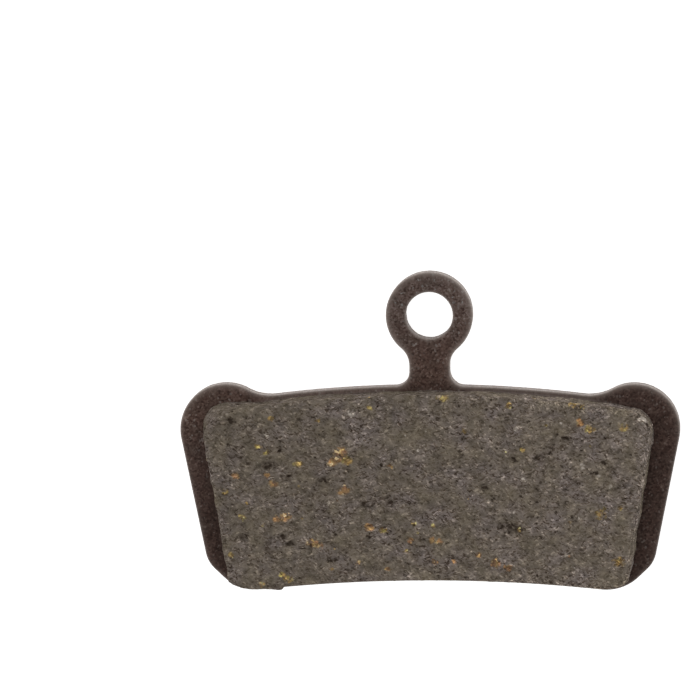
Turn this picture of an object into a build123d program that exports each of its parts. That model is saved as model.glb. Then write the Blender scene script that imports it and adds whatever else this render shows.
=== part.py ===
from build123d import *
from math import cos, radians, sin, sqrt, tan
import os

# Bicycle disc brake pad: a blanked steel backing plate with a friction lining moulded onto it.
# The pad lies on its back face with the friction face up. The origin is the centre of the pin
# hole at the back face, +Y points from the lining to the tab and +Z to the friction face.
# A drop is a distance below the crown, the top edge of the plate at mid width, and a lean or a
# draft is an angle from the upright. Lengths are in mm, angles in degrees.

# Backing plate
plate_thickness = 1.8
plate_width = 42.5
crown_radius = 110.0
crown_to_foot = 16.69
ear_radius = 3.9
ear_drop = 3.74
ear_hollow_radius = 4.0
side_lean = 11.6
corner_rise = 1.58
corner_inset = 2.68
corner_radius = 2.5
foot_arch_radius = 138.0
foot_lobe_radius = 4.0
edge_roll = 0.15
back_edge_break = 0.1

# Tab with the eye for the retaining pin
pin_hole_diameter = 4.0
pin_hole_roll = 0.12
eye_diameter = 7.4
neck_width = 3.45
neck_length = 0.49
neck_top_radius = 1.9
neck_root_radius = 1.25

# Keying holes, one in front of each piston, that the lining fills
key_hole_diameter = 4.6
key_hole_spacing = 18.0
key_hole_drop = 9.15
key_plug_recess = 0.2

# Friction lining
lining_thickness = 2.2
lining_top_inset = 0.42
lining_side_inset = 1.75
lining_side_lean = 9.55
lining_corner_radius = 2.6
lining_heel_radius = 0.8
lining_draft = 4.0
lining_edge_break = 0.2

os.makedirs("parts", exist_ok=True)


def arc_rise(radius, half_chord):
    """Height of an arc over its chord."""
    return radius - sqrt(radius**2 - half_chord**2)


# Blanked outline of the plate without its holes: the crown, the leaning sides tangent to the
# round ears, the cut corners, the arched foot, then the waisted tab. The neck is straight for its
# length between the round under the eye and the round at its root.
neck_top = sqrt((eye_diameter / 2 + neck_top_radius) ** 2 - (neck_width / 2 + neck_top_radius) ** 2)
crown_y = -neck_top - neck_length - neck_root_radius
foot_y = crown_y - crown_to_foot
ear_x = plate_width / 2 - ear_radius
ear_y = crown_y - ear_drop
lean = radians(side_lean)
crown_end = (ear_x, crown_y - arc_rise(crown_radius, ear_x))
side_top = (ear_x + ear_radius * cos(lean), ear_y - ear_radius * sin(lean))
corner_y = foot_y + corner_rise
corner_x = side_top[0] - (side_top[1] - corner_y) * tan(lean)
foot_x = corner_x - corner_inset
foot_end = (foot_x, foot_y - arc_rise(foot_arch_radius, foot_x))

with BuildSketch() as plate_outline:
    with BuildLine():
        ThreePointArc((-crown_end[0], crown_end[1]), (0, crown_y), crown_end)
        right_side = Polyline(crown_end, (ear_x, ear_y), side_top, (corner_x, corner_y), foot_end)
        mirror(right_side, about=Plane.YZ)
        ThreePointArc(foot_end, (0, foot_y), (-foot_end[0], foot_end[1]))
    make_face()
    fillet(vertices().group_by(Axis.Y)[1], corner_radius)
    fillet(vertices().group_by(Axis.Y)[0], foot_lobe_radius)
    with Locations((ear_x, ear_y), (-ear_x, ear_y)):
        Circle(ear_radius)
    fillet(vertices(Select.LAST).group_by(Axis.Y)[-1], ear_hollow_radius)
    Rectangle(neck_width, -ear_y, align=(Align.CENTER, Align.MAX))
    fillet(vertices(Select.LAST).group_by(Axis.Y)[0], neck_root_radius)
    Circle(eye_diameter / 2)
    fillet(vertices(Select.LAST), neck_top_radius)

# Steel plate: front edge rolled over by the blanking die, back edge deburred, holes pierced
key_centres = [(side * key_hole_spacing / 2, crown_y - key_hole_drop) for side in (-1, 1)]

with BuildPart() as backing_plate:
    add(plate_outline.sketch)
    extrude(amount=plate_thickness)
    fillet(faces().sort_by(Axis.Z)[-1].edges(), edge_roll)
    chamfer(faces().sort_by(Axis.Z)[0].edges(), back_edge_break)
    with Locations((0, 0, plate_thickness)):
        Hole(pin_hole_diameter / 2)
    fillet(edges(Select.LAST).filter_by(GeomType.CIRCLE).sort_by(Axis.Z)[-1], pin_hole_roll)
    with Locations(*[(x, y, plate_thickness) for x, y in key_centres]):
        Hole(key_hole_diameter / 2)

# Moulded lining: its top follows the crown and its foot ends where the rolled edge begins, its
# walls are drafted, and its plugs reach down into the keying holes
lining_top_y = crown_y - lining_top_inset
lining_top_radius = crown_radius - lining_top_inset
lining_x = plate_width / 2 - lining_side_inset
lining_corner = (lining_x, lining_top_y - arc_rise(lining_top_radius, lining_x))
lining_narrowing = (lining_corner[1] - foot_end[1]) * tan(radians(lining_side_lean))
lining_heel = (lining_x - lining_narrowing, foot_end[1])

with BuildPart() as friction_lining:
    with BuildSketch(Plane.XY.offset(plate_thickness)):
        offset(plate_outline.sketch, amount=-edge_roll)
        with BuildLine():
            ThreePointArc((-lining_x, lining_corner[1]), (0, lining_top_y), lining_corner)
            lining_side = Line(lining_corner, lining_heel)
            mirror(lining_side, about=Plane.YZ)
            Line(lining_heel, (-lining_heel[0], lining_heel[1]))
        make_face(mode=Mode.INTERSECT)
        fillet(vertices().group_by(Axis.Y)[-2], lining_heel_radius)
        fillet(vertices().group_by(Axis.Y)[-1], lining_corner_radius)
    extrude(amount=lining_thickness)
    lining_walls = faces().filter_by(Axis.Z, reverse=True)
    draft(lining_walls, Plane.XY.offset(plate_thickness), lining_draft)
    fillet(faces().sort_by(Axis.Z)[-1].edges(), lining_edge_break)
    with BuildSketch(Plane.XY.offset(key_plug_recess)):
        with Locations(*key_centres):
            Circle(key_hole_diameter / 2)
    extrude(amount=plate_thickness - key_plug_recess)

backing_plate.part.label = "backing_plate"
export_step(backing_plate.part, "parts/backing_plate.step")

friction_lining.part.label = "friction_lining"
export_step(friction_lining.part, "parts/friction_lining.step")
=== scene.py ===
# %% [markdown]
# # A bicycle disc brake pad
# A disc brake pad is two things: a backing plate, blanked out of steel sheet and given a thin
# baked coating, and a friction lining, a mix of resin, fibres, minerals and metal chips that is
# pressed hot onto the plate. This notebook loads the exact solids of the pad as a fixed frame and
# dresses them: the edge that the press leaves on the plate, the pitted lining with its metal
# chips, and the finish of both. All lengths are in mm until a mesh is made, which is in metres.

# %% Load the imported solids
from math import atan2, cos, pi, radians, sin, sqrt, tan

import bpy
import numpy as np
from mathutils import Matrix, Vector
from mathutils.geometry import tessellate_polygon


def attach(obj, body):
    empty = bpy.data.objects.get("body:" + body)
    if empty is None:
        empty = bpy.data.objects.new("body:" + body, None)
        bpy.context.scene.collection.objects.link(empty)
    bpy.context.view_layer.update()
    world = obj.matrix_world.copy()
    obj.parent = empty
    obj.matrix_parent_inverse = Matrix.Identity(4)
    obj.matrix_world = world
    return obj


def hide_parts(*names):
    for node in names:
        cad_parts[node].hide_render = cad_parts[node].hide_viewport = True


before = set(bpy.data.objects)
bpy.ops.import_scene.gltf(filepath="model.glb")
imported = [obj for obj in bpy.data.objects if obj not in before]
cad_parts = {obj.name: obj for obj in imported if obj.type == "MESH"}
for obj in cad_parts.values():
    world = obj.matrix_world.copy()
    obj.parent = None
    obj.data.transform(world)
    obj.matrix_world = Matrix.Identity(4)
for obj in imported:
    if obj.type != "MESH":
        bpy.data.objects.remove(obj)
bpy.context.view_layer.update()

MM = 0.001

# %% [markdown]
# ## Camera: where it looks from
# The pad lies on its back and is seen almost straight from above. The camera leans a little towards
# the tab and to the right, so a sliver of the walls on those two sides shows. A track-to constraint
# could aim it, but three directions worked out from the two leans say exactly what the picture's
# right and up are, and where the pin hole lands in the frame follows from them.

# %% Directions of the camera
PIXEL = 0.08495
LEAN_RIGHT, LEAN_TABWARD = radians(3.5), radians(7.0)
PIN_RIGHT, PIN_UP = 80.3 * PIXEL, 36.9 * PIXEL

towards_camera = Vector((tan(LEAN_RIGHT), tan(LEAN_TABWARD), 1)).normalized()
up = Vector((0, towards_camera.z, -towards_camera.y)).normalized()
right = up.cross(towards_camera).normalized()
aim = -PIN_RIGHT * right - PIN_UP * up
print("one pixel is", PIXEL, "mm, the picture's middle lies at", [round(v, 2) for v in aim])

# %% [markdown]
# ## Camera: a long lens
# A catalogue picture is taken with a long lens from far away, which keeps the outline free of
# perspective. An orthographic camera would have none at all. The long lens keeps the trace of it
# that a real picture has, and its distance follows from the width that the frame must cover.

# %% Set up the camera
PIXELS_ACROSS = 700
FRAME_WIDTH = PIXELS_ACROSS * PIXEL
LENS, SENSOR = 1000.0, 36.0

camera_data = bpy.data.cameras.new("camera")
camera_data.lens = LENS
camera_data.sensor_width = SENSOR
camera = bpy.data.objects.new("camera", camera_data)
bpy.context.scene.collection.objects.link(camera)
turn = Matrix((right, up, towards_camera)).transposed().to_4x4()
distance = FRAME_WIDTH / SENSOR * LENS
camera.matrix_world = Matrix.Translation((aim + distance * towards_camera) * MM) @ turn
bpy.context.scene.camera = camera
print("camera is", round(distance), "mm away and sees", round(FRAME_WIDTH, 1), "mm")

# %% [markdown]
# ## Outlines as runs of arcs and lines
# A toolmaker draws a blanked outline as straight runs and arcs that flow into each other. A curve
# object with Bezier handles could follow it, but the same runs as plain arrays give exact points
# and, at each point, the direction that looks out of the material. With that direction a profile
# can be carried along the outline later.

# %% An arc and a line
SPACING = 0.12


def arc(centre, radius, start, end):
    """An arc as points and outward directions.

    A point is the centre plus the radius times the direction at its angle. Outlines are walked
    clockwise, so a falling angle rounds a bulge, whose outside is away from the centre, and a
    rising angle rounds a hollow or a hole, whose outside is towards it.
    """
    steps = max(3, round(abs(end - start) * radius / SPACING))
    angle = np.linspace(start, end, steps, endpoint=False)
    direction = np.stack([np.cos(angle), np.sin(angle)], axis=1)
    return np.asarray(centre) + radius * direction, direction if end < start else -direction


def line(start, end):
    """A straight run: the start plus a growing share of the way, with its outside to the left."""
    start, end = np.asarray(start, float), np.asarray(end, float)
    length = np.linalg.norm(end - start)
    steps = max(2, round(length / SPACING))
    share = np.linspace(0, 1, steps, endpoint=False)[:, None]
    ahead = (end - start) / length
    return start + share * (end - start), np.tile([-ahead[1], ahead[0]], (steps, 1))


print("a quarter turn of 4 mm has", len(arc((0, 0), 4, pi / 2, 0)[0]), "points")

# %% [markdown]
# ## A closed outline from its right half
# The pad is the same on both sides, so only the right half is drawn and then mirrored. A Mirror
# modifier would do that to a mesh. Mirrored here, the outline is closed before anything is built on
# it, and no seam has to be merged. The other two helpers find the centres of roundings.

# %% Both halves, headings and meeting points
def both_halves(runs, last_point):
    """The runs of the right half from the top to the foot, then the same mirrored back up."""
    points = np.concatenate([run[0] for run in runs] + [[last_point]])
    outward = np.concatenate([run[1] for run in runs] + [[(0, -1)]])
    flip = np.array([-1, 1])
    points = np.concatenate([points, points[-2:0:-1] * flip])
    return points, np.concatenate([outward, outward[-2:0:-1] * flip])


def heading(vector):
    """Angle of a direction, counted from +X."""
    return atan2(vector[1], vector[0])


def reach_point(point, ahead, centre, reach, leaving=False):
    """Where a straight walk enters, or leaves, the circle of that reach round a centre.

    The walk is nearest to the centre at its middle, and half the chord lies on either side of it.
    """
    offset = np.asarray(point) - centre
    middle = offset @ ahead
    half_chord = sqrt(middle**2 - offset @ offset + reach**2)
    return np.asarray(point) + (half_chord if leaving else -half_chord) * ahead - middle * ahead


walked_to = reach_point(np.array([-5.0, 3.0]), np.array([1.0, 0.0]), np.zeros(2), 5.0)
print("a walk at height 3 enters a circle of 5 at", walked_to)

# %% [markdown]
# ## Backing plate: roundings of the upper half
# From the eye down the right side come the waisted neck, the shallow crown, the hollow in front of
# the ear, and the ear. The outline could be traced by eye, but a blanking die is drawn with arcs that
# are tangent to each other. So each rounding's centre is worked out as the point where the offsets
# of its two neighbours meet. The sizes are those of the solids.

# %% Centres from the eye to the ear
THICK = 1.8
EYE, PIN_HOLE = 3.7, 2.0
NECK_HALF, NECK_TOP_ROUND, NECK_ROOT_ROUND, NECK_RUN = 1.725, 1.9, 1.25, 0.49
CROWN = 110.0
EAR, EAR_DROP, EAR_HOLLOW, HALF_WIDTH = 3.9, 3.74, 4.0, 21.25

neck_top = np.array([NECK_HALF + NECK_TOP_ROUND, 0])
neck_top[1] = -sqrt((EYE + NECK_TOP_ROUND) ** 2 - neck_top[0] ** 2)
crown_y = neck_top[1] - NECK_RUN - NECK_ROOT_ROUND
crown_centre = np.array([0, crown_y - CROWN])
neck_root = np.array([NECK_HALF + NECK_ROOT_ROUND, 0])
neck_root[1] = crown_centre[1] + sqrt((CROWN + NECK_ROOT_ROUND) ** 2 - neck_root[0] ** 2)

ear = np.array([HALF_WIDTH - EAR, crown_y - EAR_DROP])
ear_gap = np.linalg.norm(ear - crown_centre)
ear_way = (ear - crown_centre) / ear_gap
ear_side = np.array([-ear_way[1], ear_way[0]])
along = ((CROWN + EAR_HOLLOW) ** 2 - (EAR + EAR_HOLLOW) ** 2 + ear_gap**2) / (2 * ear_gap)
hollow = crown_centre + along * ear_way + sqrt((CROWN + EAR_HOLLOW) ** 2 - along**2) * ear_side
print("crown at", round(crown_y, 2), "ear", ear.round(2), "hollow", hollow.round(2))

# %% [markdown]
# ## Backing plate: roundings of the lower half
# Below the ear the side leans in, a short cut takes off the corner, and a lobe leads into the shallow
# arch of the foot. They could be guessed one by one until they seem to flow. Worked out, they do: the
# cut corner's rounding lies on the line that halves its angle, and the lobe's centre where the offset
# of the cut meets that of the arch.

# %% Centres from the side to the foot
HEIGHT, LEAN = 16.69, radians(11.6)
CORNER_RISE, CORNER_INSET, CORNER, LOBE, ARCH = 1.58, 2.68, 2.5, 4.0, 138.0

foot_y = crown_y - HEIGHT
arch_centre = np.array([0, foot_y - ARCH])
side_out = np.array([cos(LEAN), -sin(LEAN)])
side_top = ear + EAR * side_out
corner = np.array([0, foot_y + CORNER_RISE])
corner[0] = side_top[0] - (side_top[1] - corner[1]) * tan(LEAN)
foot_x = corner[0] - CORNER_INSET
foot_end = np.array([foot_x, arch_centre[1] + sqrt(ARCH**2 - foot_x**2)])
cut_way = (foot_end - corner) / np.linalg.norm(foot_end - corner)
cut_out = np.array([-cut_way[1], cut_way[0]])
corner_centre = corner - CORNER * (side_out + cut_out) / (1 + side_out @ cut_out)
lobe_centre = reach_point(corner - LOBE * cut_out, cut_way, arch_centre, ARCH + LOBE)
print("foot at", round(foot_y, 2), "corner", corner.round(2), "lobe round", lobe_centre.round(2))

# %% [markdown]
# ## Backing plate: its outline
# With all the centres known, the outline is one list of runs, from the top of the eye to the middle of
# the foot. Each arc starts and ends where it touches its neighbour, which is on the line between the
# two centres, so the list needs no other numbers than those above.

# %% Outline of the plate
plate_path = both_halves([
    arc((0, 0), EYE, pi / 2, heading(neck_top)),
    arc(neck_top, NECK_TOP_ROUND, heading(-neck_top), pi),
    line((NECK_HALF, neck_top[1]), (NECK_HALF, neck_root[1])),
    arc(neck_root, NECK_ROOT_ROUND, pi, heading(crown_centre - neck_root) + 2 * pi),
    arc(crown_centre, CROWN, heading(neck_root - crown_centre), heading(hollow - crown_centre)),
    arc(hollow, EAR_HOLLOW, heading(crown_centre - hollow), heading(ear - hollow)),
    arc(ear, EAR, heading(hollow - ear), -LEAN),
    line(side_top, corner_centre + CORNER * side_out),
    arc(corner_centre, CORNER, -LEAN, heading(cut_out)),
    line(corner_centre + CORNER * cut_out, lobe_centre + LOBE * cut_out),
    arc(lobe_centre, LOBE, heading(cut_out), heading(arch_centre - lobe_centre)),
    arc(arch_centre, ARCH, heading(lobe_centre - arch_centre), pi / 2),
], (0, foot_y))
print("plate outline", len(plate_path[0]), "points, width", round(np.ptp(plate_path[0][:, 0]), 2))

# %% [markdown]
# ## Profiles carried along an outline
# The rim of a punched part is one profile swept along its outline. A curve with a bevel object can
# do that, but it can't thin the profile out or roughen it along the way. So the mesh is a stack of
# closed loops, each a little further round the profile, joined by quads. The flat faces in the
# middle are filled with triangles. Everything shares the loops' points, so the shell is closed.

# %% Loops and strips
def loops_along(path, inset, height):
    """Loops of a carried profile: the outline moved in by the inset, at the height.

    inset and height have a row for each loop, and one column or one for each outline point.
    """
    points, outward = path
    moved = np.broadcast_to(inset, (len(inset), len(points)))[..., None] * outward[None]
    flat = points[None] - moved
    return np.dstack([flat, np.broadcast_to(height, flat.shape[:2])])


def strip(loops):
    """Quads between neighbouring closed loops of point numbers, facing out of the material."""
    ahead = np.roll(loops, -1, axis=1)
    return np.stack([loops[:-1], ahead[:-1], ahead[1:], loops[1:]], axis=-1).reshape(-1, 4)


print("two loops of four points make", len(strip(np.arange(8).reshape(2, 4))), "quads")

# %% [markdown]
# ## Flat areas with holes
# The plate's front and back are flat with round holes in them. An n-gon can't have a hole, and a
# Boolean would cut the rim's clean loops. Blender's own polygon filler, mathutils.geometry, takes
# the outer loop and the holes and gives triangles between their points, and nothing else changes.

# %% Fills and stacks
def fill(loops, coords, facing):
    """Triangles over the area inside the first loop and outside the others, facing up or down.

    A triangle whose cross product has the wrong sign is turned round.
    """
    numbers = np.concatenate(loops)
    outlines = [[Vector(p) for p in coords[loop]] for loop in loops]
    triangles = numbers[np.array(tessellate_polygon(outlines))]
    a, b, c = (coords[triangles[:, k], :2] for k in range(3))
    turn = (b - a)[:, 0] * (c - a)[:, 1] - (b - a)[:, 1] * (c - a)[:, 0]
    return np.where((turn * facing < 0)[:, None], triangles[:, ::-1], triangles)


def stack(blocks):
    """All blocks of loops as one list of points, and each block's point numbers."""
    counts = [block.shape[0] * block.shape[1] for block in blocks]
    starts = np.cumsum([0] + counts[:-1])
    numbers = [
        start + np.arange(count).reshape(block.shape[:2])
        for start, count, block in zip(starts, counts, blocks)
    ]
    return np.concatenate([block.reshape(-1, 3) for block in blocks]), numbers


square = np.array([[0, 0, 0], [0, 1, 0], [1, 1, 0], [1, 0, 0]], float)
print("a square is filled by", len(fill([np.arange(4)], square, 1)), "triangles")

# %% [markdown]
# ## From arrays to a mesh object
# Both pieces become meshes in the same way: points and faces go in at once, the shading is smooth
# but for edges that are really sharp, and the numbers that say where the surface is worn or grainy
# go along as named layers, which the finishes read with an Attribute node. The object stays at the
# origin, because its points already are where they belong.

# %% Add a piece
def add_piece(name, coords, faces, sharp_angle, layers):
    """A mesh object at the origin from points in mm, with named layers of one number a point.

    Its volume is the sum of the tetrahedra from the origin to each triangle, and is positive only
    if the faces point outwards.
    """
    mesh = bpy.data.meshes.new(name)
    mesh.from_pydata((coords * MM).tolist(), [], faces)
    mesh.shade_smooth()
    mesh.set_sharp_from_angle(angle=radians(sharp_angle))
    for layer, values in layers.items():
        made = mesh.attributes.new(layer, "FLOAT", "POINT")
        made.data.foreach_set("value", values.astype(np.float32))
    piece = bpy.data.objects.new(name, mesh)
    bpy.context.scene.collection.objects.link(piece)
    mesh.calc_loop_triangles()
    corners = np.empty(3 * len(mesh.loop_triangles), np.int32)
    mesh.loop_triangles.foreach_get("vertices", corners)
    a, b, c = coords[corners].reshape(-1, 3, 3).transpose(1, 0, 2)
    held = np.einsum("ij,ij->i", a, np.cross(b, c)).sum() / 6
    print(name, len(corners) // 3, "triangles, holds", round(held, 1), "mm3")
    return piece


print("pieces go into", bpy.context.scene.collection.name)

# %% [markdown]
# ## Noise for worn and moulded surfaces
# A Displace modifier with a texture could push a surface about, but here the same bumps must also
# colour the surface, so they are worked out once as arrays. The noise is the oldest kind: random
# numbers on the corners of a lattice, blended smoothly in between. The size of its cells is in mm,
# so each bump can have the size that it has on the real pad.

# %% Lattice noise
def lattice_numbers(index, seed, size=8192):
    """A fixed random number from 0 to 1 for each lattice corner, looked up by a hash of its place."""
    table = np.random.default_rng(seed).random(size)
    i, j, k = index.astype(np.int64).T
    return table[((i * 73856093) ^ (j * 19349663) ^ (k * 83492791)) % size]


def noise(points, cell, seed):
    """Smooth noise from -1 to 1: the eight lattice corners round a point, weighted by smoothstep."""
    scaled = points / cell
    base = np.floor(scaled)
    weight = (scaled - base) ** 2 * (3 - 2 * (scaled - base))
    total = np.zeros(len(points))
    for corner_step in np.ndindex(2, 2, 2):
        share = np.prod(np.where(corner_step, weight, 1 - weight), axis=1)
        total += share * lattice_numbers(base + corner_step, seed)
    return 2 * total - 1


def rise(value, start, end):
    """A straight ramp: 0 up to the start, 1 from the end on, and the share of the way in between."""
    return np.clip((value - start) / (end - start), 0, 1)


def near(x, y, spot, reach):
    """1 at a spot, falling straight to 0 at the reach from it."""
    return rise(np.hypot(x - spot[0], y - spot[1]), reach, 0)


print("noise at two points", noise(np.array([[0.1, 0, 0], [0.7, 0, 0]]), 1.0, 1).round(2))

# %% [markdown]
# ## Backing plate: the roll and the break
# A punch first pulls the sheet down, which leaves a soft roll on the front edge. Then it cuts a
# smooth, bright band, and at last the sheet breaks, which leaves a duller, rougher band that runs
# in a little towards the back. A Bevel modifier would give only a plain round edge, so the roll is a
# curve of its own, and the break gets noise whose cells are as large as its torn grains.

# %% Roll and grain of a punched edge
BRIGHT_BAND = 0.55


def roll_drop(inset, width, depth):
    """How far the face has sunk: three quarters as a wide cubic, the rest in the last 0.06 mm."""
    return depth * (0.75 * rise(inset, width, 0) ** 3 + 0.25 * rise(inset, 0.06, 0) ** 2)


def break_grain(path, height, broken):
    """Roughness of the cut wall in mm, five times as deep on the broken band as on the bright one.

    Two noises over the way along the outline and the height: one round, one drawn out upright.
    """
    along = np.cumsum(np.linalg.norm(np.diff(path[0], axis=0, prepend=path[0][-1:]), axis=1))
    spots = np.dstack(np.broadcast_arrays(along[None], height, 0.0)).reshape(-1, 3)
    grain = noise(spots, 0.22, 11) + 0.6 * noise(spots * [1, 0.25, 1], 0.1, 12)
    return (0.002 + 0.008 * broken) * (1 + grain.reshape(len(height), -1))


print("a roll of 0.15 mm sinks", roll_drop(np.array([0.6, 0.3, 0.0]), 0.9, 0.15).round(3))

# %% [markdown]
# ## Backing plate: the whole rim
# The profile runs from the flat of the front over the roll, down the wall and over a small break to
# the flat of the back. Its loops lie closer together where it turns faster. Three layers go with it,
# because the coating is drawn thin where the sheet is bent or cut: how bare the steel is, how much a
# point belongs to the roll, and how much to the wall. The paleness of the first two is partly that thin
# coat and partly painted sheen and highlight on the curved edge. All three end at 0 on the back.

# %% Rim of a punched outline
ROLL_LOOPS, WALL_LOOPS, BACK_LOOPS = 18, 12, 3
BAND_FADE, BARE_WIDTH, WALL_FADE = 0.15, 0.14, 0.3


def punched_rim(path, width, depth, taper, back_break):
    """Loops of the rim from the flat of the front to the flat of the back, and its three layers.

    The front sinks along roll_drop, the wall runs in by the taper below the bright band and gets
    the grain of the break, and a straight chamfer ends it at the back. The power of 1.6 brings the
    front's loops closer together towards the edge.
    """
    inset = width * np.linspace(1, 0, ROLL_LOOPS)[:, None] ** 1.6
    top = THICK - roll_drop(inset, width, depth)
    height = np.linspace(top[-1, 0], back_break, WALL_LOOPS + 1)[1:, None]
    broken = rise(height, THICK - BRIGHT_BAND, THICK - BRIGHT_BAND - BAND_FADE)
    wall_inset = taper * broken * (1 - height / THICK) + break_grain(path, height, broken)
    back = np.linspace(0, 1, BACK_LOOPS + 1)[1:, None]
    back_inset = wall_inset[-1:] * (1 - back) + (taper + back_break) * back
    loops = np.concatenate([
        loops_along(path, inset, top),
        loops_along(path, wall_inset, height),
        loops_along(path, back_inset, back_break * (1 - back)),
    ])
    # Edge and roll: partly worn steel and thin coat, partly painted highlight and sheen on the curved edge
    bare_edge_and_highlight = np.concatenate([rise(inset, BARE_WIDTH, 0), 1 - 0.4 * broken, 0.6 * (1 - back)])
    roll_wear_and_sheen = np.concatenate([rise(inset, width, 0) ** 3.3, 1 - 0.5 * broken, 0.5 * (1 - back)])
    wall = np.concatenate([rise(inset, WALL_FADE, 0), np.ones_like(height), 1 - back])
    return loops, [np.broadcast_to(layer, loops.shape[:2]) for layer in (bare_edge_and_highlight, roll_wear_and_sheen, wall)]


ROLL_WIDTH, ROLL_DEPTH = 0.9, 0.15
pin_hole_path = arc((0, 0), PIN_HOLE, 0, 2 * pi)
rims = [
    punched_rim(plate_path, ROLL_WIDTH, ROLL_DEPTH, taper=0.03, back_break=0.1),
    punched_rim(pin_hole_path, width=0.4, depth=0.12, taper=0.01, back_break=0.03),
]
print("rim loops", [loops.shape[:2] for loops, layers in rims])

# %% [markdown]
# ## Backing plate: keying holes and the closed shell
# Two holes go through the plate in front of the pistons. The lining is pressed through them, which
# keys it to the plate. Their edges are covered by the compound, so two plain loops are enough. The
# front and the back are then filled between the loops, and the shell is closed.

# %% Faces of the plate
KEY_HOLE, KEY_SPACING, KEY_DROP = 2.3, 18.0, 9.15

key_centres = [(side * KEY_SPACING / 2, crown_y - KEY_DROP) for side in (-1, 1)]
for centre in key_centres:
    path = arc(centre, KEY_HOLE, 0, 2 * pi)
    covered = np.zeros((2, len(path[0])))
    rims.append((loops_along(path, np.zeros((2, 1)), np.array([[THICK], [0]])), [covered] * 3))

coords, numbers = stack([loops for loops, layers in rims])
faces = [quad for block in numbers for quad in strip(block).tolist()]
faces += fill([block[0] for block in numbers], coords, 1).tolist()
faces += fill([block[-1] for block in numbers], coords, -1).tolist()
print("plate has", len(coords), "points and", len(faces), "faces")

# %% [markdown]
# ## Backing plate: where the edges are paler
# The pale edge and roll are full on the crown, the ears and the eye, and weaker low down, at the neck
# and in the pin hole. The fade towards the foot is painted light and shade: the edges near the tab are
# painted as lit, and those low down as in shade. Just under the crown, on the narrow strip between the edge
# and the lining, a paler band is painted light over the shade of the lining's wall, brighter on the
# right. This could be painted by hand as a vertex colour. Ramps over the points' places give the same
# and can be read and changed.

# %% Pale edge layers, painted light and shade, and the plate's mesh
HOLE_MARGIN, NECK_MIDDLE, NECK_REACH = 0.6, -4.4, 3.4
LIT_BAND_DROP, LIT_BAND_REACH, FRONT_SKIN = 0.42, 0.3, 0.3

x, y, z = coords.T
bare_edge_and_highlight, roll_wear_and_sheen, wall = (np.concatenate([layers[k].ravel() for loops, layers in rims]) for k in range(3))
# Painted light and shade: the bare edge is weaker towards the foot, away from the light from the tab side,
# and at half in the pin hole
bare_edge_and_highlight *= 0.5 + 0.5 * rise(y, -12, -9)
bare_edge_and_highlight *= np.where(np.hypot(x, y) < PIN_HOLE + HOLE_MARGIN, 0.5, 1)

at_neck = (np.abs(x) < NECK_REACH) * rise(np.abs(y - NECK_MIDDLE), 1.5, 0.5)
# Painted light and shade: the roll's sheen fades the same way towards the foot, and is weaker at the neck
roll_wear_and_sheen *= 0.25 + 0.75 * rise(y, -11, -5)
roll_wear_and_sheen *= 1 - 0.4 * at_neck
under_crown = CROWN - np.hypot(x, y - crown_centre[1])
neck_to_ear = rise(np.abs(x), 15.5, 13.5) * rise(np.abs(x), 2.5, 4.0)
# Painted light: a paler band along the strip under the crown, brighter towards the right, over the shade of
# the lining's wall
painted_light_under_crown = rise(np.abs(under_crown - LIT_BAND_DROP), LIT_BAND_REACH, 0) * (z > THICK - FRONT_SKIN)
painted_light_under_crown *= neck_to_ear
roll_wear_and_sheen = np.maximum(roll_wear_and_sheen, painted_light_under_crown * (0.42 + 0.25 * rise(x, 0, 6)))

layers = {"bare_edge_and_highlight": bare_edge_and_highlight, "roll_wear_and_sheen": roll_wear_and_sheen, "wall": wall}
plate = add_piece("backing_plate_blanked", coords, faces, sharp_angle=35, layers=layers)

# %% [markdown]
# ## Friction lining: its outline
# The lining's top runs a hair below the crown, its sides lean less than the plate's, and its foot
# follows the plate's own foot where the rolled edge begins. The mould's corners are rounded. The
# roundings' centres are found as on the plate, by walking along the offset of the side until it
# meets the offset of the top, or of the foot's lobe.

# %% Centres of the lining's roundings
TOP_INSET, SIDE_INSET, LINING_LEAN = 0.42, 1.75, radians(9.55)
LINING_CORNER, LINING_HEEL, EDGE_ROLL = 2.6, 0.8, 0.15

top_reach = CROWN - TOP_INSET
lining_x = HALF_WIDTH - SIDE_INSET
lining_corner = np.array([lining_x, crown_centre[1] + sqrt(top_reach**2 - lining_x**2)])
wall_out = np.array([cos(LINING_LEAN), -sin(LINING_LEAN)])
wall_way = np.array([-sin(LINING_LEAN), -cos(LINING_LEAN)])
corner_start = lining_corner - LINING_CORNER * wall_out
round_centre = reach_point(corner_start, wall_way, crown_centre, top_reach - LINING_CORNER)
heel_start = lining_corner - LINING_HEEL * wall_out
heel_reach = LOBE - EDGE_ROLL - LINING_HEEL
heel_centre = reach_point(heel_start, wall_way, lobe_centre, heel_reach, leaving=True)
print("corner round", round_centre.round(2), "heel round", heel_centre.round(2))

# %% [markdown]
# ## Friction lining: its runs
# The mould's outline is then a list of runs, as the plate's is: the top, the corner, the leaning side,
# the small heel, the lobe and the arch. The last two have the plate's own centres and differ from its
# runs only by the width of the rolled edge, so the two feet stay parallel.

# %% Outline of the lining
corner_heading = heading(round_centre - crown_centre)
heel_heading = heading(heel_centre - lobe_centre)
lobe_end = heading(arch_centre - lobe_centre)
lining_runs = [
    arc(crown_centre, top_reach, pi / 2, corner_heading),
    arc(round_centre, LINING_CORNER, corner_heading, -LINING_LEAN),
    line(round_centre + LINING_CORNER * wall_out, heel_centre + LINING_HEEL * wall_out),
    arc(heel_centre, LINING_HEEL, -LINING_LEAN, heel_heading),
    arc(lobe_centre, LOBE - EDGE_ROLL, heel_heading, lobe_end),
    arc(arch_centre, ARCH + EDGE_ROLL, heading(lobe_centre - arch_centre), pi / 2),
]
lining_path = both_halves(lining_runs, (0, foot_y + EDGE_ROLL))
print("lining outline", len(lining_path[0]), "points, width", round(np.ptp(lining_path[0][:, 0]), 2))

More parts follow.
